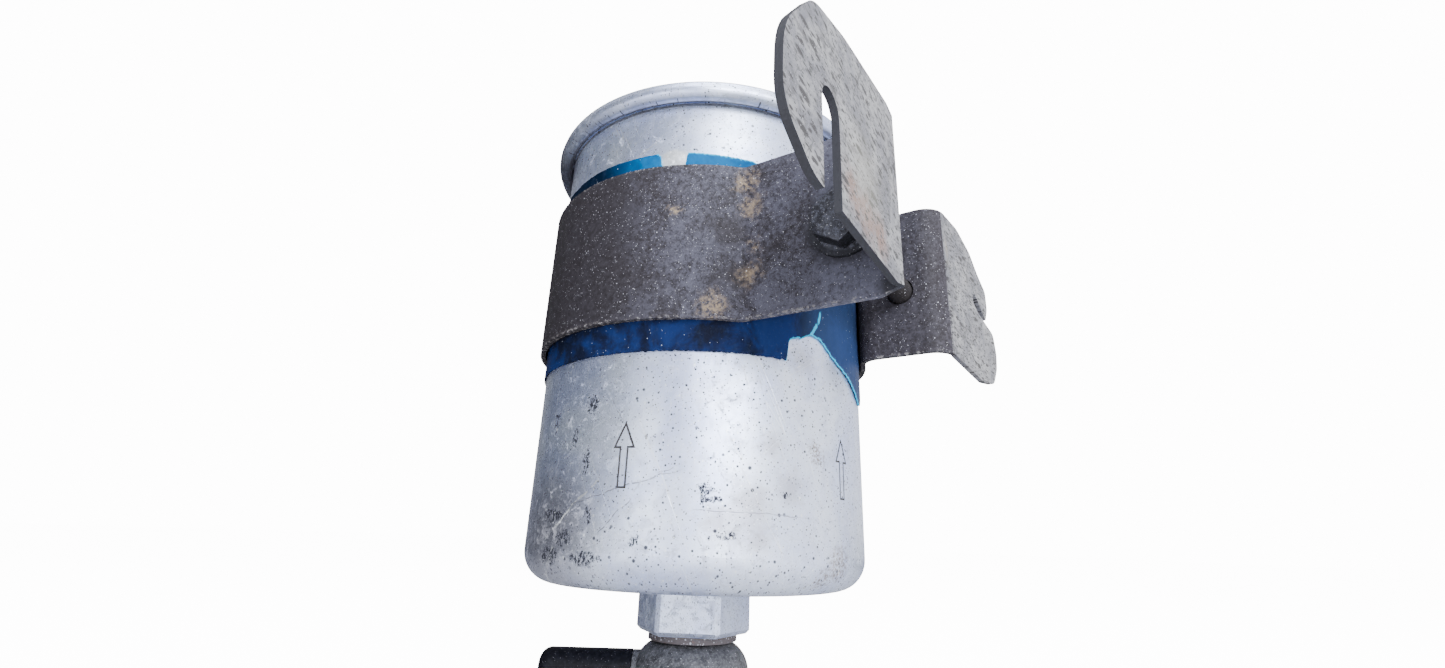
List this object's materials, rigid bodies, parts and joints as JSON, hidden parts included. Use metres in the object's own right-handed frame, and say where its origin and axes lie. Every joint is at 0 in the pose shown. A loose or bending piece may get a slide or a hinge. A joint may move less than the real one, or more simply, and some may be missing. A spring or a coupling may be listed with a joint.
{
  "type": "fuel filter",
  "caption": "In-line metal fuel filter: sealed can with a pleated element, held in a screw-clamped strap bracket with slotted flanges, and a banjo union on the inlet.",
  "frame": {"origin": "centre of the outlet port's mouth, on the can's axis", "axes": "+Z along the can from the inlet to the outlet, +X the way the bracket's mounting face looks"},
  "size_m": [0.111, 0.1235, 0.1657],
  "materials": {
    "can_alloy": "satin, worn, scratched",
    "film": "semi-gloss film, faded to cyan at its edges",
    "strap_steel": "matt dark plating, dusty, rubbed to grey on the flanges",
    "fastener_steel": "dull zinc",
    "plate_steel": "plain tinned sheet",
    "copper": "annealed copper, tarnished",
    "union_steel": "rough black oxide, speckled",
    "rubber": "smooth black",
    "paper": "resin-treated"
  },
  "bodies": {
    "bracket": {"bracket_strap": "strap_steel", "clamp_washer": "fastener_steel", "lock_washer": "fastener_steel", "clamp_nut": "fastener_steel"},
    "filter": {"canister": "can_alloy", "end_cover": "can_alloy", "seam_gasket": "rubber", "filter_paper": "paper", "centre_tube": "plate_steel", "upper_end_cap": "plate_steel", "lower_end_cap": "plate_steel", "element_seal": "rubber", "support_plate": "plate_steel", "strainer": "plate_steel", "spring_plate": "plate_steel", "film_sleeve": "film", "inlet_washer_upper": "copper"},
    "banjo": {"banjo_union": "union_steel", "tail_cap": "rubber"},
    "bolt": {"banjo_bolt": "fastener_steel", "inlet_washer_lower": "copper"},
    "screw": {"clamp_screw": "fastener_steel"}
  },
  "joints": [
    {"name": "filter_turn", "type": "hinge", "parent": "bracket", "child": "filter", "pos_m": [0, 0, -0.06], "axis": [0, 0, 1], "continuous": true},
    {"name": "banjo_swivel", "type": "hinge", "parent": "filter", "child": "banjo", "pos_m": [0, 0, -0.148], "axis": [0, 0, 1], "continuous": true},
    {"name": "banjo_bolt_turn", "type": "hinge", "parent": "filter", "child": "bolt", "pos_m": [0, 0, -0.16], "axis": [0, 0, 1], "continuous": true},
    {"name": "clamp_screw_turn", "type": "hinge", "parent": "bracket", "child": "screw", "pos_m": [0.0515, -0.03, -0.0618], "axis": [0, 1, 0], "continuous": true}
  ]
}
